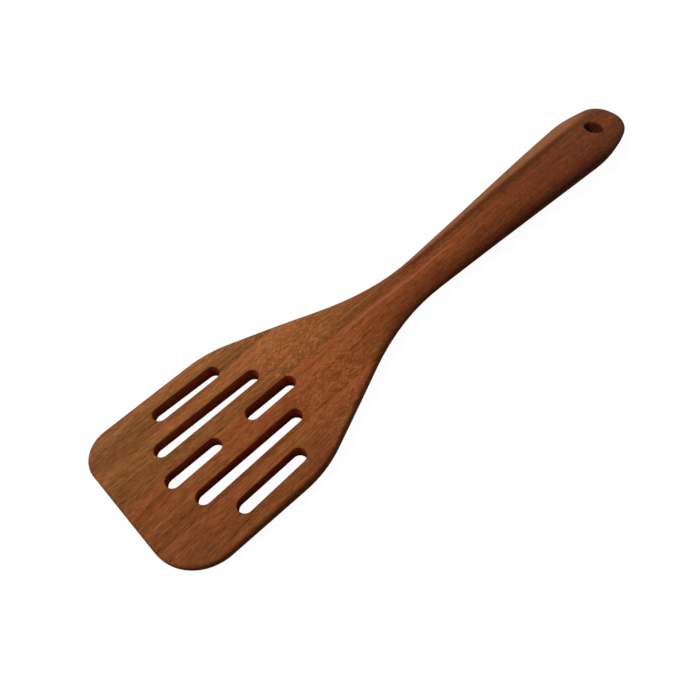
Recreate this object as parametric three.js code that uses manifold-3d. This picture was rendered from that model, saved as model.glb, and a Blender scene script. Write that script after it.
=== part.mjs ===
// A slotted wooden spatula: a wedge-shaped board, edge-glued from four staves, cut to outline,
// rounded over along its edges, milled with drain slots and drilled for a hook.
// Millimetres, +Z up. It lies on its flat underside with the handle towards +X and the blade's
// left side towards +Y. The origin is on the underside, below the middle of the length.
import * as THREE from "three";
import { mergeVertices } from "three/addons/utils/BufferGeometryUtils.js";
import Module from "manifold-3d";

const wasm = await Module();
wasm.setup();

// Outline, seen from above. Widths are measured between the corners before they are rounded.
// The right side is trimmed in towards the front, where its corner is rounder than the left one.
const overallLength = 320;
const frontWidth = 69.6;
const leftCornerRadius = 12.4;
const rightCornerRadius = 18.5;
const rightFrontTrim = 1.8;
const shoulderWidth = 70.5;
const shoulderFromFront = 60;
const shoulderRadius = 49;
const neckWidth = 16.8;
const neckFromFront = 130;
const neckRadius = 127;
const swellWidth = 33.7;
const swellFromEnd = 28.5;
const swellRadius = 90;
const endWidth = 23.6;
const endRadius = 13;

// Thickness: a straight wedge from the front edge up to the full handle, with a soft bend there.
const frontThickness = 4.7;
const handleThickness = 15;
const wedgeLength = 250;
const wedgeBlend = 50;

// Edges: barely eased round the blade, then growing into the oval of the grip.
const bladeEdgeInset = 1.5;
const bladeEdgeRise = 1.5;
const handleEdgeInset = 7;
const handleEdgeRise = 5.8;
const roundingStart = 80;
const roundingEnd = 165;

// Drain slots: five rows between the blade's sides, with two short slots in the middle row.
const slotWidth = 6;
const slotSideMargin = 6.6;
const outerSlotStart = 28;
const outerSlotLength = 30.6;
const innerSlotStart = 20;
const innerSlotLength = 48.4;
const middleSlotStart = 16;
const middleSlotLength = 24;
const middleSlotGap = 12.5;

// Hanging hole, countersunk on both faces and drilled a little right of the middle.
const holeDiameter = 10;
const holeFromEnd = 24;
const holeRightOfMiddle = 1.3;
const holeCountersink = 1;

// Staves of the glued board. The middle glue line runs just left of the board's middle.
const staveWidth = 20.2;
const middleGlueLine = 2.6;
const glueLineThickness = 0.1;

// Limits of a fillet, as shares of the wall or edge that it is cut in.
const mostOfHalfThickness = 0.92;
const mostOfGripWidth = 0.9;
const mostOfSharedEdge = 0.49;
const mostOfOwnEdge = 0.98;

// Fineness of the curves.
const arcStep = THREE.MathUtils.degToRad(11);
const longestStep = 10;
const edgeSteps = 4;
const slotEndSegments = 8;
const holeSegments = 24;
const cutMargin = 5;

// Woods of the staves, by name. The staves of one wooden board differ a little in tone.
const woods = {
  left_edge_stave: { color: 0x86522d, roughness: 0.55 },
  left_centre_stave: { color: 0x8a552f, roughness: 0.55 },
  right_centre_stave: { color: 0x7e482a, roughness: 0.55 },
  right_edge_stave: { color: 0x794528, roughness: 0.55 },
};

// Lines and arcs through corner points: each corner becomes a tangent arc that fits its edges.
function roundedCurves(start, corners, end) {
  const points = [start, ...corners.map(({ point }) => point), end];
  const lastEdge = points.length - 2;
  const roomOn = (edge) => {
    const share = edge === 0 || edge === lastEdge ? mostOfOwnEdge : mostOfSharedEdge;
    return share * points[edge].distanceTo(points[edge + 1]);
  };
  const curves = [];
  let from = start;
  corners.forEach(({ point, radius }, index) => {
    const into = point.clone().sub(points[index]).normalize();
    const out = points[index + 2].clone().sub(point).normalize();
    const turn = into.cross(out);
    const halfTurn = Math.tan(Math.acos(into.dot(out)) / 2);
    const reach = Math.min(radius * halfTurn, roomOn(index), roomOn(index + 1));
    const fitted = reach / halfTurn;
    const entry = point.clone().addScaledVector(into, -reach);
    const exit = point.clone().addScaledVector(out, reach);
    const inward = new THREE.Vector2(-into.y, into.x).multiplyScalar(Math.sign(turn));
    const centre = entry.clone().addScaledVector(inward, fitted);
    const [first, last] = [entry, exit].map(({ x, y }) => Math.atan2(y - centre.y, x - centre.x));
    curves.push(new THREE.LineCurve(from, entry));
    curves.push(new THREE.EllipseCurve(centre.x, centre.y, fitted, fitted, first, last, turn < 0));
    from = exit;
  });
  return [...curves, new THREE.LineCurve(from, end)];
}

// One side of the plan outline, from the middle of the front edge to the middle of the end.
function sideOutline(frontRadius, frontTrim) {
  const corner = (x, width, radius) => ({ point: new THREE.Vector2(x, width / 2), radius });
  return roundedCurves(
    new THREE.Vector2(0, 0),
    [
      corner(0, frontWidth - 2 * frontTrim, frontRadius),
      corner(shoulderFromFront, shoulderWidth, shoulderRadius),
      corner(neckFromFront, neckWidth, neckRadius),
      corner(overallLength - swellFromEnd, swellWidth, swellRadius),
      corner(overallLength, endWidth, endRadius),
    ],
    new THREE.Vector2(overallLength, 0),
  );
}

// Steps along a curve of the outline: arcs by angle, straight edges by length.
function stepsAlong(curve) {
  if (curve.isEllipseCurve) return Math.ceil(curve.getLength() / curve.xRadius / arcStep);
  return Math.ceil(curve.getLength() / longestStep);
}

// Points along one side with their outward normals, in as many steps as the finer side needs.
function stationsOf(outline, steps) {
  const stations = [];
  outline.forEach((curve, index) => {
    for (let step = index ? 1 : 0; step <= steps[index]; step++) {
      const tangent = curve.getTangent(step / steps[index]);
      const normal = new THREE.Vector2(-tangent.y, tangent.x);
      stations.push({ point: curve.getPoint(step / steps[index]), normal });
    }
  });
  return stations;
}

// The whole outline: the left side up to the end, then the right side back to the front.
function outlineStations() {
  const left = sideOutline(leftCornerRadius, 0);
  const right = sideOutline(rightCornerRadius, rightFrontTrim);
  const steps = left.map((curve, index) => Math.max(stepsAlong(curve), stepsAlong(right[index])));
  const mirrored = stationsOf(right, steps).map(({ point, normal }) => ({
    point: new THREE.Vector2(point.x, -point.y),
    normal: new THREE.Vector2(normal.x, -normal.y),
  }));
  return [...stationsOf(left, steps), ...mirrored.slice(1, -1).reverse()];
}

// Board thickness at a distance from the front edge.
function thicknessAt(x) {
  const slope = (handleThickness - frontThickness) / wedgeLength;
  const bendStart = wedgeLength - wedgeBlend / 2;
  const past = THREE.MathUtils.clamp(x - bendStart, 0, wedgeBlend);
  return frontThickness + slope * (Math.min(x, bendStart) + past - past ** 2 / (2 * wedgeBlend));
}

// How far the grip's rounding can reach in: less than half its width, and than the end's radius.
function gripInset() {
  const grip = sideOutline(leftCornerRadius, 0);
  const endArc = grip.findLast((curve) => curve.isEllipseCurve);
  const swell = overallLength - swellFromEnd;
  const narrowest = grip
    .flatMap((curve) => curve.getPoints(stepsAlong(curve)))
    .filter(({ x }) => x > shoulderFromFront && x < swell)
    .reduce((least, { y }) => Math.min(least, y), swellWidth);
  return Math.min(handleEdgeInset, mostOfGripWidth * Math.min(narrowest, endArc.xRadius));
}

// One ring round the board at a step of the edge profile, which is a quarter ellipse: angle 0
// lies where the rounding meets the flat face, and a right angle where it meets the side.
function edgeRing(stations, deepestInset, angle, onTop) {
  return stations.map(({ point, normal }) => {
    const share = THREE.MathUtils.smoothstep(point.x, roundingStart, roundingEnd);
    const inset = THREE.MathUtils.lerp(bladeEdgeInset, deepestInset, share);
    const rise = THREE.MathUtils.lerp(bladeEdgeRise, handleEdgeRise, share);
    const place = point.clone().addScaledVector(normal, -inset * (1 - Math.sin(angle)));
    const thickness = thicknessAt(place.x);
    const fittedRise = Math.min(rise, (mostOfHalfThickness * thickness) / 2);
    const height = fittedRise * (1 - Math.cos(angle));
    return new THREE.Vector3(place.x, place.y, onTop ? thickness - height : height);
  });
}

// A closed solid from a stack of equal rings, capped by strips from the left side to the right.
function solidFromRings(rings) {
  const count = rings[0].length;
  const top = (rings.length - 1) * count;
  const triangles = [];
  rings.slice(1).forEach((_, ring) => {
    for (let i = 0; i < count; i++) {
      const [a, b] = [ring * count + i, ring * count + ((i + 1) % count)];
      triangles.push(b, a, a + count, b, a + count, b + count);
    }
  });
  for (let i = 0; i < count / 2; i++) {
    const [a, b] = [i, i + 1];
    const [c, d] = [count - b, (count - a) % count];
    if (b !== c) triangles.push(a, b, c, top + a, top + c, top + b);
    if (a !== d) triangles.push(a, c, d, top + a, top + d, top + c);
  }
  const vertices = rings.flat().flatMap(({ x, y, z }) => [x, y, z]);
  return solidFrom(new Float32Array(vertices), new Uint32Array(triangles));
}

// A closed surface as a solid that can be cut.
function solidFrom(vertProperties, triVerts) {
  return new wasm.Manifold(new wasm.Mesh({ numProp: 3, vertProperties, triVerts }));
}

function solidOf(geometry) {
  geometry.deleteAttribute("normal").deleteAttribute("uv");
  const { attributes, index } = mergeVertices(geometry);
  return solidFrom(attributes.position.array, new Uint32Array(index.array));
}

function geometryOf(solid) {
  const { vertProperties, triVerts } = solid.getMesh();
  const indexed = new THREE.BufferGeometry();
  indexed.setAttribute("position", new THREE.BufferAttribute(vertProperties, 3));
  indexed.setIndex(new THREE.BufferAttribute(triVerts, 1));
  const faceted = indexed.toNonIndexed();
  faceted.computeVertexNormals();
  return faceted;
}

// The board cut to outline, with its edges rounded over.
function shapedBoard() {
  const stations = outlineStations();
  const deepestInset = gripInset();
  const below = [];
  const above = [];
  for (let step = 0; step <= edgeSteps; step++) {
    const angle = (step / edgeSteps) * (Math.PI / 2);
    below.push(edgeRing(stations, deepestInset, angle, false));
    above.unshift(edgeRing(stations, deepestInset, angle, true));
  }
  return solidFromRings([...below, ...above]);
}

// A plan shape extruded right through the board and past both faces.
function throughCut(shape) {
  const depth = handleThickness + 2 * cutMargin;
  const options = { depth, bevelEnabled: false, curveSegments: slotEndSegments };
  return solidOf(new THREE.ExtrudeGeometry(shape, options).translate(0, 0, -cutMargin));
}

// One slot with round ends.
function slotCut(start, length, y) {
  const radius = slotWidth / 2;
  const slot = new THREE.Shape();
  slot.absarc(start + radius, y, radius, Math.PI / 2, 1.5 * Math.PI);
  slot.absarc(start + length - radius, y, radius, -Math.PI / 2, Math.PI / 2);
  return throughCut(slot);
}

// All slots. The rows are spaced evenly between the margins at the blade's two sides.
function slotCuts() {
  const outerRow = Math.min(frontWidth, shoulderWidth) / 2 - slotSideMargin - slotWidth / 2;
  const sides = [-1, 1].flatMap((side) => [
    slotCut(outerSlotStart, outerSlotLength, side * outerRow),
    slotCut(innerSlotStart, innerSlotLength, (side * outerRow) / 2),
  ]);
  const rearStart = middleSlotStart + middleSlotLength + middleSlotGap;
  const middle = [middleSlotStart, rearStart].map((start) => slotCut(start, middleSlotLength, 0));
  return [...sides, ...middle];
}

// The hanging hole: a bore that opens at 45 degrees towards each face.
function holeCut() {
  const x = overallLength - holeFromEnd;
  const top = thicknessAt(x);
  const radius = holeDiameter / 2;
  const wide = radius + holeCountersink + cutMargin;
  const profile = [
    [0, -cutMargin],
    [wide, -cutMargin],
    [radius, holeCountersink],
    [radius, top - holeCountersink],
    [wide, top + cutMargin],
    [0, top + cutMargin],
  ].map(([r, z]) => new THREE.Vector2(r, z));
  const bore = new THREE.LatheGeometry(profile, holeSegments).rotateX(Math.PI / 2);
  return solidOf(bore.translate(x, -holeRightOfMiddle, 0));
}

// The part of the board on one side of the middle glue line that belongs to the outer stave.
// Outer staves only widen the blade, so they end at the neck.
function outerStrip(side) {
  const line = middleGlueLine + side * (staveWidth + glueLineThickness / 2);
  const beyond = side * (shoulderWidth + frontWidth);
  const neck = neckFromFront - glueLineThickness / 2;
  const strip = new THREE.Shape();
  strip.moveTo(-cutMargin, line).lineTo(neck, line).lineTo(neck, beyond).lineTo(-cutMargin, beyond);
  return throughCut(strip);
}

// The part that belongs to the centre stave, which also forms its half of the handle.
function centreStrip(side) {
  const near = middleGlueLine + (side * glueLineThickness) / 2;
  const far = middleGlueLine + side * (staveWidth - glueLineThickness / 2);
  const beyond = side * (swellWidth + shoulderWidth);
  const neck = neckFromFront + glueLineThickness / 2;
  const tip = overallLength + cutMargin;
  const strip = new THREE.Shape();
  strip.moveTo(-cutMargin, near).lineTo(tip, near).lineTo(tip, beyond);
  strip.lineTo(neck, beyond).lineTo(neck, far).lineTo(-cutMargin, far);
  return throughCut(strip);
}

function staves() {
  const cuts = [...slotCuts(), holeCut()];
  const board = cuts.reduce((left, cut) => left.subtract(cut), shapedBoard());
  const strips = {
    left_edge_stave: outerStrip(1),
    left_centre_stave: centreStrip(1),
    right_centre_stave: centreStrip(-1),
    right_edge_stave: outerStrip(-1),
  };
  return Object.entries(strips).map(([name, strip]) => {
    const wood = new THREE.MeshStandardMaterial({ ...woods[name], metalness: 0 });
    const stave = new THREE.Mesh(geometryOf(board.intersect(strip)), wood);
    stave.name = name;
    stave.position.x = -overallLength / 2;
    return stave;
  });
}

const spatula = new THREE.Group();
spatula.name = "slotted_spatula";
spatula.add(...staves());

export default spatula;
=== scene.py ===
import math

import bpy
import numpy as np
from mathutils import Matrix, Vector
from mathutils.geometry import delaunay_2d_cdt


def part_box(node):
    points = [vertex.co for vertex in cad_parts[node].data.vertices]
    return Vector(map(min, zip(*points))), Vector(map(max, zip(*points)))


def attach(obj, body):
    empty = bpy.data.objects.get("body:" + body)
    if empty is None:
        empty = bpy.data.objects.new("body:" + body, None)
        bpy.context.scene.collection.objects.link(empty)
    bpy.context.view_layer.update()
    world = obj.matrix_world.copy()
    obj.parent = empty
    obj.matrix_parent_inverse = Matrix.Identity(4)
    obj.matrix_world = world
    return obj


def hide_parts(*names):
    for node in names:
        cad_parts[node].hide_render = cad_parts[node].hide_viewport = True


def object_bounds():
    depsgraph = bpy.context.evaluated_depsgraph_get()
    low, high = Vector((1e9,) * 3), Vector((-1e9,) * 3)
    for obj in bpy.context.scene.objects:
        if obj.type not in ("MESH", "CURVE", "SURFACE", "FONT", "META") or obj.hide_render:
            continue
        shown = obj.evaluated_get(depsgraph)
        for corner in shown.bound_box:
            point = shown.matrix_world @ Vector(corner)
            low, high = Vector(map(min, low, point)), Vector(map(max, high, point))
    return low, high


# A slotted wooden spatula: four staves glued edge to edge, shaped, oiled and laid on a white table.
# The board is drawn in millimetres, x back from the front edge of the blade and y to its left.

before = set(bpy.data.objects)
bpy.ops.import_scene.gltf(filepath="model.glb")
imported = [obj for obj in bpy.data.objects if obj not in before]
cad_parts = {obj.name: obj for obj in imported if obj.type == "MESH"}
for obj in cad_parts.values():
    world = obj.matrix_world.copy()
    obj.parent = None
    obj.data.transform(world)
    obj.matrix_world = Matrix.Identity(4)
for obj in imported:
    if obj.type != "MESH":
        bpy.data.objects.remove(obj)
cadLow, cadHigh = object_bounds()
mm = 0.001
boardLength = (cadHigh.x - cadLow.x) / mm
boardThickness = (cadHigh.z - cadLow.z) / mm
print("frame: board", round(boardLength, 1), "x", round((cadHigh.y - cadLow.y) / mm, 1), "mm")


def smoothStep(value, low, high):
    share = np.clip((value - low) / (high - low), 0, 1)
    return share * share * (3 - 2 * share)


# outline of the board

boardShape = {
    "frontWidth": 69.6,
    "leftCornerRadius": 12.4,
    "rightCornerRadius": 18.5,      # rounder than the left one
    "rightFrontTrim": 1.8,          # the right side draws in towards it
    "shoulderWidth": 70.5,
    "shoulderAt": 60.0,
    "shoulderRadius": 49.0,
    "neckWidth": 16.8,              # before rounding
    "neckAt": 130.0,
    "neckRadius": 127.0,
    "swellWidth": 33.7,
    "swellFromEnd": 28.5,
    "swellRadius": 90.0,
    "endWidth": 23.6,
    "endRadius": 13.0,
    "straightStep": 2.5,
    "arcStep": math.radians(3),
}


def sideOutline(cornerRadius, frontTrim):
    shape = boardShape
    corners = [
        (0, shape["frontWidth"] / 2 - frontTrim, cornerRadius),
        (shape["shoulderAt"], shape["shoulderWidth"] / 2, shape["shoulderRadius"]),
        (shape["neckAt"], shape["neckWidth"] / 2, shape["neckRadius"]),
        (boardLength - shape["swellFromEnd"], shape["swellWidth"] / 2, shape["swellRadius"]),
        (boardLength, shape["endWidth"] / 2, shape["endRadius"]),
    ]
    knots = [Vector((0, 0))]
    knots += [Vector((x, y)) for x, y, radius in corners]
    knots += [Vector((boardLength, 0))]
    points = []
    normals = []

    def addStraight(start, end, normal):
        count = math.ceil((end - start).length / shape["straightStep"])
        for i in range(count):
            points.append(start.lerp(end, i / count))
            normals.append(normal)

    here = knots[0]
    for i, (x, y, radius) in enumerate(corners):
        into = (knots[i + 1] - knots[i]).normalized()
        out = (knots[i + 2] - knots[i + 1]).normalized()
        normal = Vector((-into.y, into.x))
        turn = math.atan2(into.x * out.y - into.y * out.x, into.dot(out))
        reach = radius * math.tan(abs(turn) / 2)
        entry = knots[i + 1] - into * reach
        addStraight(here, entry, normal)
        towardsCentre = math.copysign(radius, turn)
        centre = entry + normal * towardsCentre
        count = math.ceil(abs(turn) / shape["arcStep"])
        for step in range(count):
            turned = Matrix.Rotation(turn * step / count, 2) @ normal
            points.append(centre - turned * towardsCentre)
            normals.append(turned)
        here = knots[i + 1] + out * reach
    addStraight(here, knots[-1], Vector((1, 0)))
    points.append(knots[-1])
    normals.append(Vector((1, 0)))
    return np.array(points), np.array(normals)


leftPoints, leftNormals = sideOutline(boardShape["leftCornerRadius"], 0)
rightPoints, rightNormals = sideOutline(boardShape["rightCornerRadius"], boardShape["rightFrontTrim"])
mirror = np.array((1, -1))
# anticlockwise from the middle of the front edge
outline = np.vstack([rightPoints * mirror, leftPoints[-2:0:-1]])
outlineNormals = np.vstack([rightNormals * mirror, leftNormals[-2:0:-1]])
print("outline:", len(outline), "points")


# thickness, and the edge that grows from the blade's eased edge into the rounded grip

wedgeShape = {
    "frontThickness": 4.7,
    "wedgeLength": 250.0,
    "wedgeBlend": 50.0,
}

edgeShape = {
    "bladeInset": 1.5,
    "bladeRise": 1.5,
    "gripInset": 7.0,
    "gripRise": 5.8,
    "growFrom": 80.0,
    "growTo": 165.0,
    "mostOfHalf": 0.92,
    "rings": 9,
    "flatRing": 0.4,                # keeps the flat's shading flat up to the edge
}


def thicknessAt(x):
    slope = (boardThickness - wedgeShape["frontThickness"]) / wedgeShape["wedgeLength"]
    blend = wedgeShape["wedgeBlend"]
    bendStart = wedgeShape["wedgeLength"] - blend / 2
    past = np.clip(x - bendStart, 0, blend)
    run = np.minimum(x, bendStart) + past - past * past / (2 * blend)
    return wedgeShape["frontThickness"] + slope * run


def edgeSizesAt(x):
    share = smoothStep(x, edgeShape["growFrom"], edgeShape["growTo"])
    inset = edgeShape["bladeInset"] + (edgeShape["gripInset"] - edgeShape["bladeInset"]) * share
    rise = edgeShape["bladeRise"] + (edgeShape["gripRise"] - edgeShape["bladeRise"]) * share
    return inset, np.minimum(rise, edgeShape["mostOfHalf"] * thicknessAt(x) / 2)


def quarterRound(distance, inset, rise):
    share = np.clip(1 - distance / inset, 0, 1)
    return rise * (1 - np.sqrt(1 - share * share))


# slots and the hanging hole

slotShape = {
    "width": 6.0,
    "rowPitch": 12.6,
    "cuts": [                       # row, from, to
        (2, 28.0, 58.6),
        (1, 20.0, 68.4),
        (0, 16.0, 40.0),
        (0, 52.5, 76.5),
        (-1, 20.0, 68.4),
        (-2, 28.0, 58.6),
    ],
    "ease": 0.4,
    "rings": 4,
    "endSegments": 18,
    "straightStep": 3.0,
}

holeShape = {
    "fromEnd": 24.0,
    "rightOfMiddle": 1.3,
    "radius": 5.0,
    "ease": 1.2,
    "rings": 5,
    "segments": 72,
}


def slotLoop(row, start, end):
    radius = slotShape["width"] / 2
    y = row * slotShape["rowPitch"]
    back = end - radius
    front = start + radius
    count = math.ceil((end - start - 2 * radius) / slotShape["straightStep"])
    points = []
    normals = []
    for centreX, nextX, facing in ((back, front, 0.0), (front, back, math.pi)):
        for i in range(slotShape["endSegments"]):
            angle = facing - math.pi / 2 + math.pi * i / slotShape["endSegments"]
            normals.append((math.cos(angle), math.sin(angle)))
            points.append((centreX + radius * math.cos(angle), y + radius * math.sin(angle)))
        for i in range(count):
            side = math.sin(facing + math.pi / 2)
            normals.append((0.0, side))
            points.append((centreX + (nextX - centreX) * i / count, y + radius * side))
    return np.array(points), np.array(normals)


def holeLoop():
    angles = np.arange(holeShape["segments"]) * 2 * math.pi / holeShape["segments"]
    normals = np.column_stack([np.cos(angles), np.sin(angles)])
    centre = np.array((boardLength - holeShape["fromEnd"], -holeShape["rightOfMiddle"]))
    return centre + holeShape["radius"] * normals, normals


cutLoops = [slotLoop(*cut) + (slotShape["ease"], slotShape["rings"]) for cut in slotShape["cuts"]]
cutLoops.append(holeLoop() + (holeShape["ease"], holeShape["rings"]))
print("cuts:", len(cutLoops))


# plan of the whole board: rings round the outline and round each cut, then the flats between them

planShape = {
    "gridStep": 5.0,
    "gridHalf": 35.0,
    "edgeRoom": 1.5,                # grid points keep this far off every easing
    "glueRoom": 0.8,                # and this far off the glue lines
    "stripPast": 20.0,              # the strips that part the staves reach past the board
    "stripHalf": 100.0,
    "weld": 1e-4,
    "wallReach": 0.02,              # a wall's points lie this close to its cut
    "sharpAngle": math.radians(40),
    "pointsAtOnce": 1000,           # saves memory
}


def loopDistance(points, loop):
    along = np.roll(loop, -1, axis=0) - loop
    lengthSquared = (along ** 2).sum(1)
    distances = []
    stations = []
    for part in np.array_split(points, max(1, len(points) // planShape["pointsAtOnce"])):
        fromStart = part[:, None] - loop[None]
        share = np.clip((fromStart * along).sum(2) / lengthSquared, 0, 1)
        gap = np.linalg.norm(fromStart - share[..., None] * along, axis=2)
        nearest = gap.argmin(1)
        rows = np.arange(len(part))
        distances.append(gap[rows, nearest])
        stations.append(loop[nearest, 0] + share[rows, nearest] * along[nearest, 0])
    return np.concatenate(distances), np.concatenate(stations)


def dropAt(points):
    distance, station = loopDistance(points, outline)
    drop = quarterRound(distance, *edgeSizesAt(station))
    for loop, normals, ease, rings in cutLoops:
        distance = loopDistance(points, loop)[0]
        drop = np.maximum(drop, quarterRound(distance, ease, ease))
    return drop


planPoints = []
planDrops = []
planEdges = []
planFaces = []


def addRing(points, drops, isBoundary=False):
    first = sum(len(some) for some in planPoints)
    numbers = list(range(first, first + len(points)))
    planPoints.append(points)
    planDrops.append(drops)
    if isBoundary:
        planFaces.append(numbers)
    else:
        planEdges.extend(zip(numbers, numbers[1:] + numbers[:1]))


def addRings(loop, normals, inset, rise, rings, flatRing):
    addRing(loop, rise, True)
    for i in range(rings):
        angle = math.pi / 2 * i / rings
        away = (inset * (1 - math.sin(angle)))[:, None]
        addRing(loop + normals * away, rise * (1 - math.cos(angle)))
    addRing(loop + normals * (inset + flatRing)[:, None], rise * 0)


edgeInset, edgeRise = edgeSizesAt(outline[:, 0])
addRings(outline, -outlineNormals, edgeInset, edgeRise, edgeShape["rings"], edgeShape["flatRing"])
for loop, normals, ease, rings in cutLoops:
    easeRing = np.full(len(loop), ease)
    addRings(loop, normals, easeRing, easeRing, rings, edgeShape["flatRing"])

staveNames = ["left_edge_stave", "left_centre_stave", "right_centre_stave", "right_edge_stave"]
staveBoxes = [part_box(name) for name in staveNames]
glueLines = [(left[0].y + right[1].y) / 2 / mm for left, right in zip(staveBoxes, staveBoxes[1:])]
stripFront = -planShape["stripPast"]
stripBack = boardLength + planShape["stripPast"]
stripSides = [planShape["stripHalf"]] + glueLines + [-planShape["stripHalf"]]
outlineFace = 0
firstStrip = len(planFaces)
cutFaces = set(range(1, firstStrip))
for left, right in zip(stripSides, stripSides[1:]):
    corners = [(stripFront, right), (stripBack, right), (stripBack, left), (stripFront, left)]
    addRing(np.array(corners), np.zeros(len(corners)), True)

gridStep = planShape["gridStep"]
gridHalf = planShape["gridHalf"]
gridX, gridY = np.meshgrid(
    np.arange(gridStep, boardLength, gridStep),
    np.arange(-gridHalf, gridHalf + 1, gridStep),
)
grid = np.column_stack([gridX.ravel(), gridY.ravel()])
edgeGap, edgeStation = loopDistance(grid, outline)
roomy = edgeGap > edgeSizesAt(edgeStation)[0] + planShape["edgeRoom"]
for loop, normals, ease, rings in cutLoops:
    roomy &= loopDistance(grid, loop)[0] > ease + planShape["edgeRoom"]
for y in glueLines:
    roomy &= abs(grid[:, 1] - y) > planShape["glueRoom"]
planPoints.append(grid[roomy])
planDrops.append(np.zeros(roomy.sum()))

allPoints = [Vector(point) for point in np.vstack(planPoints)]
allDrops = np.concatenate(planDrops)
plan = delaunay_2d_cdt(allPoints, planEdges, planFaces, 0, planShape["weld"], True)
planVerts = np.array([tuple(point) for point in plan[0]])
cutDrops = dropAt(planVerts)        # for the points that the glue lines add
topDrops = np.array([allDrops[came[0]] if came else drop for came, drop in zip(plan[3], cutDrops)])
slotGap = np.min([loopDistance(planVerts, cut[0])[0] for cut in cutLoops[:-1]], axis=0)
boreGap = loopDistance(planVerts, cutLoops[-1][0])[0]
print("plan:", len(planVerts), "points,", len(plan[2]), "triangles")


def staveTriangles(number):
    strip = firstStrip + number
    chosen = []
    for triangle, inside in zip(plan[2], plan[5]):
        if outlineFace in inside and strip in inside and not cutFaces & set(inside):
            chosen.append(triangle)
    return chosen


# materials: face wood, slot wood, and bore wood, darkened with painted shade, where the hole is
def buildStave(name, number, materials):
    triangles = staveTriangles(number)
    used = sorted({vert for triangle in triangles for vert in triangle})
    place = {vert: i for i, vert in enumerate(used)}
    flat = planVerts[used]
    height = thicknessAt(flat[:, 0])
    x = flat[:, 0] * mm + cadLow.x
    y = np.clip(flat[:, 1] * mm, cadLow.y, cadHigh.y)
    top = np.column_stack([x, y, (height - topDrops[used]) * mm + cadLow.z])
    bottom = np.column_stack([x, y, topDrops[used] * mm + cadLow.z])
    inSlot = slotGap[used] < planShape["wallReach"]
    inBore = boreGap[used] < planShape["wallReach"]
    below = len(used)
    faces = []
    materialNumbers = []
    ways = set()
    for triangle in triangles:
        a, b, c = (place[vert] for vert in triangle)
        faces.append((a, b, c))
        faces.append((c + below, b + below, a + below))
        materialNumbers += [0, 0]
        ways |= {(a, b), (b, c), (c, a)}
    for a, b in sorted(ways):
        if (b, a) in ways:
            continue
        faces.append((a, a + below, b + below, b))
        if inSlot[a] and inSlot[b]:
            materialNumbers.append(1)
        elif inBore[a] and inBore[b]:
            materialNumbers.append(2)
        else:
            materialNumbers.append(0)
    mesh = bpy.data.meshes.new(name)
    mesh.from_pydata(np.vstack([top, bottom]).tolist(), [], faces)
    mesh.polygons.foreach_set("material_index", materialNumbers)
    for material in materials:
        mesh.materials.append(material)
    mesh.shade_smooth()
    mesh.set_sharp_from_angle(angle=planShape["sharpAngle"])
    mesh.update()
    piece = bpy.data.objects.new(name, mesh)
    bpy.context.scene.collection.objects.link(piece)
    return piece


# oiled wood

woodLook = {
    # layers of grain: size along and across it, and how much each moves the tone
    "swaySize": (60.0, 22.0), "swayReach": 2.2,
    "bandSize": (150.0, 5.0), "bandGain": 0.7,
    "streakSize": (40.0, 1.3), "streakGain": 0.75, "streakDetail": 4.0,
    "fibreSize": (4.5, 0.55), "fibreGain": 1.1,
    "detail": 2.0,
    "seedStep": (3.7, 11.3, 7.9),

    # dark pores, fewer among the flecks
    "poreSize": (3.2, 0.5), "poreLow": 0.57, "poreHigh": 0.7,
    "poreShade": 0.65, "poreTint": (0.36, 0.22, 0.18, 1), "poreLossInFlecks": 0.75,

    # crossed flecks, strongest behind the slots
    "fleckSize": (2.6, 0.85), "fleckTurn": math.radians(30),
    "fleckLow": 0.2, "fleckHigh": 0.38, "fleckGain": 0.55, "fleckLift": 0.05, "fleckLeast": 0.25,
    "fleckFrom": 62.0, "fleckFullFrom": 77.0, "fleckFullTo": 83.0, "fleckTo": 123.0,

    # red heartwood in patches, and more of it towards the handle
    "redSize": (50.0, 8.0), "redLow": 0.42, "redHigh": 0.64,
    "redMost": 0.38, "redTint": (0.99, 0.74, 0.92, 1),
    "redFrontShare": 0.5, "redFrontFrom": 5.0, "redFrontTo": 40.0,
    "redOfHandle": 0.5, "redFrom": 95.0, "redTo": 140.0,

    # shade by place
    "frontShade": 0.15, "frontTo": 55.0,
    "handledFrom": 110.0, "handledTo": 230.0, "handledShade": 0.3,
    "leftEdgeLift": 0.3,            # each stave is lighter along its left edge
    # painted shade on surfaces that face sideways, and on the end of the handle
    "sideLow": 0.1, "sideHigh": 0.5, "paintedSideShade": 0.5, "paintedSideShadeTint": (0.22, 0.12, 0.1, 1),
    "endFull": 0.6, "paintedEndShade": 0.8, "paintedEndShadeTint": (0.1, 0.07, 0.07, 1),

    # polish and relief
    "polishLow": 0.3, "polishHigh": 0.7, "rougher": 0.08, "smoother": 0.04, "sideRougher": 0.4,
    "reliefStreaks": 0.6, "reliefPores": 1.5, "reliefStrength": 0.4, "reliefDepth": 0.12,
}


def setSocket(tree, socket, value):
    if isinstance(value, bpy.types.NodeSocket):
        tree.links.new(value, socket)
    else:
        socket.default_value = value


def addNode(tree, kind, settings=None, **sockets):
    made = tree.nodes.new("ShaderNode" + kind)
    for name, value in (settings or {}).items():
        setattr(made, name, value)
    for name, value in sockets.items():
        setSocket(tree, made.inputs[name], value)
    return made


def maths(tree, operation, first, second=0.0, third=0.0):
    made = addNode(tree, "Math", {"operation": operation})
    for socket, value in zip(made.inputs, (first, second, third)):
        setSocket(tree, socket, value)
    return made.outputs[0]


def mapRange(tree, value, source, target, smooth=False):
    kind = "SMOOTHSTEP" if smooth else "LINEAR"
    made = addNode(tree, "MapRange", {"interpolation_type": kind}, Value=value)
    for name, number in zip(("From Min", "From Max", "To Min", "To Max"), source + target):
        made.inputs[name].default_value = number
    return made.outputs[0]


def alongBoard(tree, fromFront, start, end, target):
    return mapRange(tree, fromFront, (start * mm, end * mm), target, True)


# places of the colour sockets on a Mix node
mixShare, mixUnder, mixOver, mixResult = 0, 6, 7, 2


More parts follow.
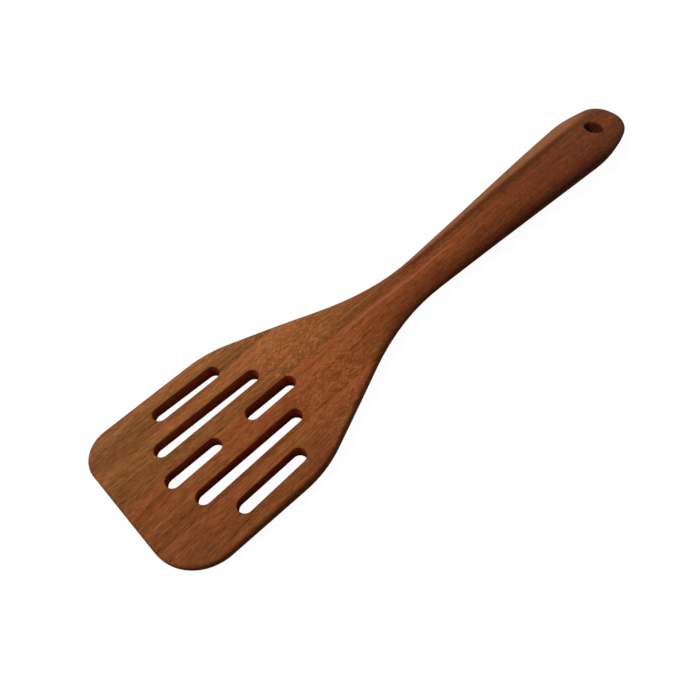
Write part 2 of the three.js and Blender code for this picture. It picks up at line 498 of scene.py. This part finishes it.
def mixColour(tree, share, under, over, blend="MULTIPLY"):
    made = addNode(tree, "Mix", {"data_type": "RGBA", "blend_type": blend})
    for number, value in ((mixShare, share), (mixUnder, under), (mixOver, over)):
        setSocket(tree, made.inputs[number], value)
    return made.outputs[mixResult]


def longNoise(tree, coords, size, seed, detail=woodLook["detail"]):
    length, width = size
    scale = (1 / (length * mm), 1 / (width * mm), 1 / (width * mm))
    shift = tuple(seed * step for step in woodLook["seedStep"])
    mapped = addNode(tree, "Mapping", Vector=coords, Scale=scale, Location=shift)
    return addNode(tree, "TexNoise", Vector=mapped.outputs[0], Scale=1.0, Detail=detail).outputs[0]


# one streak along the grain, with soft sides and ends that fade
def markAlong(tree, fromFront, grainY, mark):
    slope = (mark["endY"] - mark["startY"]) / (mark["end"] - mark["start"])
    offset = (mark["startY"] - slope * mark["start"]) * mm
    middle = maths(tree, "MULTIPLY_ADD", fromFront, slope, offset)
    gap = maths(tree, "ABSOLUTE", maths(tree, "SUBTRACT", grainY, middle))
    rim = ((mark["half"] - mark["soft"]) * mm, (mark["half"] + mark["soft"]) * mm)
    across = mapRange(tree, gap, rim, (1, 0), True)
    fadeIn = alongBoard(tree, fromFront, mark["start"], mark["start"] + mark["fade"], (0, 1))
    fadeOut = alongBoard(tree, fromFront, mark["end"] - mark["fade"], mark["end"], (1, 0))
    return maths(tree, "MULTIPLY", maths(tree, "MULTIPLY", fadeIn, fadeOut), across)


# cutTint is given for the walls of slots and hole, which get no painted side or end shade and no gloss
def oiledWood(name, stave, lowY, highY, cutTint=None):
    wood = woodLook
    seed = stave["seed"]
    material = bpy.data.materials.new(name)
    material.use_nodes = True
    tree = material.node_tree
    shader = tree.nodes["Principled BSDF"]
    coords = addNode(tree, "TexCoord").outputs["Object"]
    axes = addNode(tree, "SeparateXYZ", Vector=coords).outputs
    fromFront = maths(tree, "SUBTRACT", axes[0], cadLow.x)

    # grain runs along the board and sways a little, each layer from its own seed
    sway = longNoise(tree, coords, wood["swaySize"], seed + 1)
    swayReach = wood["swayReach"] * mm
    swayY = maths(tree, "MULTIPLY_ADD", sway, 2 * swayReach, -swayReach)
    grainY = maths(tree, "ADD", axes[1], swayY)
    grain = addNode(tree, "CombineXYZ", X=axes[0], Y=grainY, Z=axes[2]).outputs[0]
    bands = longNoise(tree, grain, wood["bandSize"], seed + 2)
    streaks = longNoise(tree, grain, wood["streakSize"], seed + 3, wood["streakDetail"])
    fibres = longNoise(tree, grain, wood["fibreSize"], seed + 4)
    pores = longNoise(tree, grain, wood["poreSize"], seed + 5)

    # flecks cross the grain at two slants
    crossed = []
    for side in (-1, 1):
        slant = side * wood["fleckTurn"]
        turned = addNode(tree, "VectorRotate", {"rotation_type": "Z_AXIS"}, Vector=coords, Angle=slant)
        crossed.append(longNoise(tree, turned.outputs[0], wood["fleckSize"], seed + 6 + side))
    both = maths(tree, "MULTIPLY", crossed[0], crossed[1])
    flecks = mapRange(tree, both, (wood["fleckLow"], wood["fleckHigh"]), (0, wood["fleckGain"]), True)
    least = wood["fleckLeast"]
    fleckStart = alongBoard(tree, fromFront, wood["fleckFrom"], wood["fleckFullFrom"], (least, 1))
    fleckEnd = alongBoard(tree, fromFront, wood["fleckFullTo"], wood["fleckTo"], (1, least))
    flecked = maths(tree, "MULTIPLY", fleckStart, fleckEnd)

    # tone, from all layers and marks
    across = mapRange(tree, grainY, (lowY, highY), (-0.5, 0.5))
    tone = maths(tree, "MULTIPLY_ADD", across, wood["leftEdgeLift"], stave["tone"])
    layers = ((bands, wood["bandGain"]), (streaks, wood["streakGain"]), (fibres, wood["fibreGain"]))
    for layer, gain in layers:
        centred = maths(tree, "SUBTRACT", tone, gain / 2)
        tone = maths(tree, "MULTIPLY_ADD", layer, gain, centred)
    fleckTone = maths(tree, "ADD", flecks, wood["fleckLift"])
    tone = maths(tree, "MULTIPLY_ADD", fleckTone, flecked, tone)
    handled = alongBoard(tree, fromFront, wood["handledFrom"], wood["handledTo"], (0, 1))
    tone = maths(tree, "MULTIPLY_ADD", handled, -wood["handledShade"], tone)
    frontMark = alongBoard(tree, fromFront, 0, wood["frontTo"], (wood["frontShade"], 0))
    tone = maths(tree, "SUBTRACT", tone, frontMark)
    for mark in stave["marks"]:
        tone = maths(tree, "MULTIPLY_ADD", markAlong(tree, fromFront, grainY, mark), mark["lift"], tone)

    # tone to colour
    colours = addNode(tree, "ValToRGB", Fac=tone)
    stops = colours.color_ramp.elements
    stops.new(0.5)
    for stop, position, shade in zip(stops, (0.0, 0.5, 1.0), ("dark", "middle", "light")):
        stop.position = position
        stop.color = tuple(c * t for c, t in zip(stave[shade], cutTint or (1, 1, 1))) + (1,)
    plain = maths(tree, "MULTIPLY_ADD", flecked, -wood["poreLossInFlecks"], 1.0)
    poreShade = mapRange(tree, pores, (wood["poreLow"], wood["poreHigh"]), (0, wood["poreShade"]))
    poreMark = maths(tree, "MULTIPLY", poreShade, plain)
    colour = mixColour(tree, poreMark, colours.outputs[0], wood["poreTint"])

    # red heartwood
    patches = longNoise(tree, grain, wood["redSize"], seed + 9)
    redMark = mapRange(tree, patches, (wood["redLow"], wood["redHigh"]), (0, wood["redMost"]), True)
    frontShare = (wood["redFrontShare"], 1)
    redFront = alongBoard(tree, fromFront, wood["redFrontFrom"], wood["redFrontTo"], frontShare)
    redMark = maths(tree, "MULTIPLY", redMark, redFront)
    redHandle = alongBoard(tree, fromFront, wood["redFrom"], wood["redTo"], (0, wood["redOfHandle"]))
    redMark = maths(tree, "ADD", redMark, redHandle)
    colour = mixColour(tree, redMark, colour, wood["redTint"])

    # painted shade: surfaces that face sideways, and the end of the handle where it faces back, are
    # darkened in the colour
    normal = addNode(tree, "NewGeometry").outputs["Normal"]
    facing = addNode(tree, "SeparateXYZ", Vector=normal).outputs
    level = maths(tree, "ABSOLUTE", facing[2])
    paintedSideShade = 0 if cutTint else wood["paintedSideShade"]
    paintedSideShadeMark = mapRange(tree, level, (wood["sideLow"], wood["sideHigh"]), (paintedSideShade, 0), True)
    colour = mixColour(tree, paintedSideShadeMark, colour, wood["paintedSideShadeTint"])
    paintedEndShade = 0 if cutTint else wood["paintedEndShade"]
    paintedEndShadeMark = mapRange(tree, facing[0], (0, wood["endFull"]), (0, paintedEndShade), True)
    paintedEndShadeMark = maths(tree, "MULTIPLY", paintedEndShadeMark, handled)
    colour = mixColour(tree, paintedEndShadeMark, colour, wood["paintedEndShadeTint"])

    # pale streaks, one of them partly a painted sheen
    for mark in stave["marks"]:
        if "pale" in mark:
            streak = markAlong(tree, fromFront, grainY, mark)
            paleShare = maths(tree, "MULTIPLY", streak, mark["pale"])
            colour = mixColour(tree, paleShare, colour, stave["paleTan"], "MIX")
    setSocket(tree, shader.inputs["Base Color"], colour)

    roughness = (stave["roughness"] + wood["rougher"], stave["roughness"] - wood["smoother"])
    polish = mapRange(tree, streaks, (wood["polishLow"], wood["polishHigh"]), roughness)
    polish = maths(tree, "MULTIPLY_ADD", paintedSideShadeMark, wood["sideRougher"], polish)
    setSocket(tree, shader.inputs["Roughness"], polish)
    shader.inputs["Specular IOR Level"].default_value = 0.0 if cutTint else stave["gloss"]
    relief = maths(tree, "MULTIPLY_ADD", streaks, wood["reliefStreaks"], fibres)
    relief = maths(tree, "MULTIPLY_ADD", poreMark, -wood["reliefPores"], relief)
    depth = wood["reliefDepth"] * mm
    bump = addNode(tree, "Bump", Strength=wood["reliefStrength"], Distance=depth, Height=relief)
    setSocket(tree, shader.inputs["Normal"], bump.outputs[0])
    return material


def addStave(node, stave):
    number = staveNames.index(node)
    low, high = staveBoxes[number]
    woods = [
        oiledWood(stave["name"] + "Wood", stave, low.y, high.y),
        oiledWood(stave["name"] + "SlotWood", stave, low.y, high.y, stave["slotTint"]),
    ]
    # the hole's walls get a darker, less red tint: painted shade inside the hole
    if "borePaintedShadeTint" in stave:
        woods.append(oiledWood(stave["name"] + "BorePaintedShadeWood", stave, low.y, high.y, stave["borePaintedShadeTint"]))
    piece = buildStave(stave["name"], number, woods)
    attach(piece, "root")
    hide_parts(node)
    print(stave["name"], len(piece.data.polygons), "faces")


leftEdgeStave = {
    "name": "leftEdgeStave",
    "seed": 59.3,
    "tone": 0.5,
    "dark": (0.115, 0.037, 0.0095),
    "middle": (0.225, 0.083, 0.024),
    "light": (0.365, 0.14, 0.045),
    "roughness": 0.5,
    "gloss": 0.03,
    "slotTint": (1.0, 0.5, 0.65),
    "marks": [],
}
addStave("left_edge_stave", leftEdgeStave)

leftCentreStave = {
    "name": "leftCentreStave",
    "seed": 12.9,
    "tone": 0.5,
    "dark": (0.107, 0.033, 0.0078),
    "middle": (0.214, 0.075, 0.0192),
    "light": (0.364, 0.125, 0.037),
    "roughness": 0.5,
    "gloss": 0.03,
    "slotTint": (1.0, 0.5, 0.65),
    "borePaintedShadeTint": (0.55, 0.58, 0.78),
    "paleTan": (0.27, 0.12, 0.052, 1),
    "marks": [
        {                           # pale left side of the handle: partly lighter wood, partly a painted sheen where the rounded shoulder faces the lamp
            "start": 140, "end": 315, "startY": 9.4, "endY": 12.4,
            "half": 3.0, "soft": 1.2, "fade": 25, "lift": 0.42, "pale": 0.5,
        },
        {                           # dark streak beside it
            "start": 135, "end": 290, "startY": 4.5, "endY": 6.8,
            "half": 1.2, "soft": 0.9, "fade": 25, "lift": -0.34,
        },
        {                           # pale line in the neck
            "start": 104, "end": 136, "startY": 6.2, "endY": 5.8,
            "half": 0.35, "soft": 0.35, "fade": 8, "lift": 0.15, "pale": 0.5,
        },
    ],
}
addStave("left_centre_stave", leftCentreStave)

rightCentreStave = {
    "name": "rightCentreStave",
    "seed": 40.2,
    "tone": 0.5,
    "dark": (0.095, 0.0255, 0.0058),
    "middle": (0.191, 0.056, 0.0136),
    "light": (0.318, 0.096, 0.027),
    "roughness": 0.5,
    "gloss": 0.03,
    "slotTint": (1.0, 0.5, 0.65),
    "borePaintedShadeTint": (0.55, 0.58, 0.78),
    "paleTan": (0.28, 0.125, 0.06, 1),
    "marks": [
        {                           # two pale lines from the neck into the handle
            "start": 102, "end": 148, "startY": 1.3, "endY": 1.2,
            "half": 0.4, "soft": 0.35, "fade": 8, "lift": 0.2, "pale": 0.65,
        },
        {
            "start": 128, "end": 176, "startY": 0.2, "endY": 0.0,
            "half": 0.35, "soft": 0.35, "fade": 8, "lift": 0.15, "pale": 0.5,
        },
    ],
}
addStave("right_centre_stave", rightCentreStave)

rightEdgeStave = {
    "name": "rightEdgeStave",
    "seed": 20.6,
    "tone": 0.5,
    "dark": (0.092, 0.025, 0.006),
    "middle": (0.188, 0.0555, 0.014),
    "light": (0.3, 0.09, 0.027),
    "roughness": 0.5,
    "gloss": 0.03,
    "slotTint": (1.0, 0.5, 0.65),
    "marks": [],
}
addStave("right_edge_stave", rightEdgeStave)


# white table

floorLook = {
    "half": 3.0,
    "below": 0.0002,                # just clear of the underside
    "colour": (0.07, 0.07, 0.07, 1),
    "roughness": 0.9,
    "glow": (1, 1, 1, 1),
    "glowNear": 0.955,              # leaves room for the shadow by the board
    "glowFar": 1.0,
    "glowInGloss": 0.3,
    "nearReach": 0.25,
    "farReach": 0.9,
}


def backgroundRays(tree, glossShare=1.0):
    path = addNode(tree, "LightPath").outputs
    gloss = maths(tree, "MULTIPLY", path["Is Glossy Ray"], glossShare)
    shown = maths(tree, "MAXIMUM", path["Is Camera Ray"], gloss)
    return maths(tree, "MAXIMUM", shown, path["Is Transmission Ray"])


def addFloor():
    look = floorLook
    half = look["half"]
    height = cadLow.z - look["below"]
    mesh = bpy.data.meshes.new("table")
    corners = [(-half, -half, height), (half, -half, height), (half, half, height), (-half, half, height)]
    mesh.from_pydata(corners, [], [(0, 1, 2, 3)])
    floor = bpy.data.objects.new("table", mesh)
    bpy.context.scene.collection.objects.link(floor)
    material = bpy.data.materials.new("whiteTable")
    material.use_nodes = True
    tree = material.node_tree
    shader = tree.nodes["Principled BSDF"]
    shader.inputs["Base Color"].default_value = look["colour"]
    shader.inputs["Roughness"].default_value = look["roughness"]
    shader.inputs["Specular IOR Level"].default_value = 0.0
    shader.inputs["Emission Color"].default_value = look["glow"]
    coords = addNode(tree, "TexCoord").outputs["Object"]
    away = addNode(tree, "VectorMath", {"operation": "LENGTH"}, Vector=coords).outputs["Value"]
    reach = (look["nearReach"], look["farReach"])
    glow = mapRange(tree, away, reach, (look["glowNear"], look["glowFar"]), True)
    seen = backgroundRays(tree, look["glowInGloss"])
    setSocket(tree, shader.inputs["Emission Strength"], maths(tree, "MULTIPLY", glow, seen))
    mesh.materials.append(material)


addFloor()
print("table laid")


# lights

lightLook = {
    "keyFrom": (-0.5, 0.42, 0.8),
    "keyAim": (0.0, 0.0, 0.0),
    "keySize": 0.5,
    "keyPower": 7.4,
    "skyColour": (1, 1, 1, 1),
    "skyLevel": 0.42,
}


def addLights():
    lamp = bpy.data.lights.new("keyLamp", "AREA")
    lamp.shape = "DISK"
    lamp.size = lightLook["keySize"]
    lamp.energy = lightLook["keyPower"]
    holder = bpy.data.objects.new("keyLamp", lamp)
    bpy.context.scene.collection.objects.link(holder)
    holder.location = lightLook["keyFrom"]
    aim = Vector(lightLook["keyAim"]) - Vector(lightLook["keyFrom"])
    holder.rotation_euler = aim.to_track_quat("-Z", "Y").to_euler()
    world = bpy.data.worlds.new("studio")
    world.use_nodes = True
    tree = world.node_tree
    background = tree.nodes["Background"]
    background.inputs["Color"].default_value = lightLook["skyColour"]
    level = mapRange(tree, backgroundRays(tree), (0, 1), (lightLook["skyLevel"], 1))
    setSocket(tree, background.inputs["Strength"], level)
    bpy.context.scene.world = world


addLights()
print("lights set")


# camera, as the photograph was taken

cameraLook = {
    "place": (-0.15184, -0.09821, 0.19009),
    "right": (0.69815, -0.71593, -0.00421),
    "up": (0.58388, 0.56595, 0.58207),
    "lens": 28.58,
    "sensor": 36.0,
    "nearest": 0.01,
    "furthest": 20.0,
}


def addCamera():
    data = bpy.data.cameras.new("camera")
    data.lens = cameraLook["lens"]
    data.sensor_width = cameraLook["sensor"]
    data.clip_start = cameraLook["nearest"]
    data.clip_end = cameraLook["furthest"]
    camera = bpy.data.objects.new("camera", data)
    bpy.context.scene.collection.objects.link(camera)
    right = Vector(cameraLook["right"]).normalized()
    back = right.cross(Vector(cameraLook["up"])).normalized()
    up = back.cross(right)
    turned = Matrix((right, up, back)).transposed().to_4x4()
    camera.matrix_world = Matrix.Translation(cameraLook["place"]) @ turned
    bpy.context.scene.camera = camera


addCamera()
bpy.context.scene.view_settings.view_transform = "Standard"
print("camera set")

bpy.context.view_layer.update()
